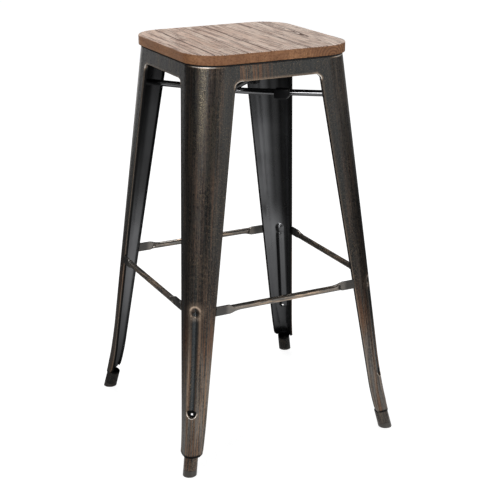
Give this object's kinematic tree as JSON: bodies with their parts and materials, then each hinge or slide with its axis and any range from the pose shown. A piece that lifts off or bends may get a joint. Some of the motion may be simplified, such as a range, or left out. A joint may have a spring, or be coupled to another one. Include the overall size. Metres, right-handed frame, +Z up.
{
  "type": "bar stool",
  "caption": "Backless bar stool with a square wooden seat on tapered pressed steel legs, round footrest bars and a crossed brace under the seat.",
  "frame": {"origin": "on the floor under the centre of the seat", "axes": "+Z up, front of the stool at -Y, left at -X"},
  "size_m": [0.4534, 0.4534, 0.762],
  "materials": {
    "oak_board": "oiled, weathered grain",
    "antique_steel": "brushed antique copper over black, satin",
    "black_steel": "satin black",
    "black_plastic": "moulded, low sheen",
    "zinc": "zinc plated"
  },
  "bodies": {
    "root": {"seat_board": "oak_board", "seat_pan": "black_steel", "leg_front_left": "antique_steel", "leg_front_right": "antique_steel", "leg_rear_left": "antique_steel", "leg_rear_right": "antique_steel", "apron_front": "antique_steel", "apron_rear": "antique_steel", "apron_left": "antique_steel", "apron_right": "antique_steel", "footrest_front": "black_steel", "footrest_rear": "black_steel", "footrest_left": "black_steel", "footrest_right": "black_steel", "brace_upper": "black_steel", "brace_lower": "black_steel", "bumper_front_left": "black_plastic", "bumper_front_right": "black_plastic", "bumper_rear_left": "black_plastic", "bumper_rear_right": "black_plastic", "foot_tube_front_left": "antique_steel", "foot_tube_front_right": "antique_steel", "foot_tube_rear_left": "antique_steel", "foot_tube_rear_right": "antique_steel", "glide_front_left": "black_plastic", "glide_front_right": "black_plastic", "glide_rear_left": "black_plastic", "glide_rear_right": "black_plastic", "seat_screws": "zinc", "screw_washers": "zinc"}
  },
  "joints": []
}
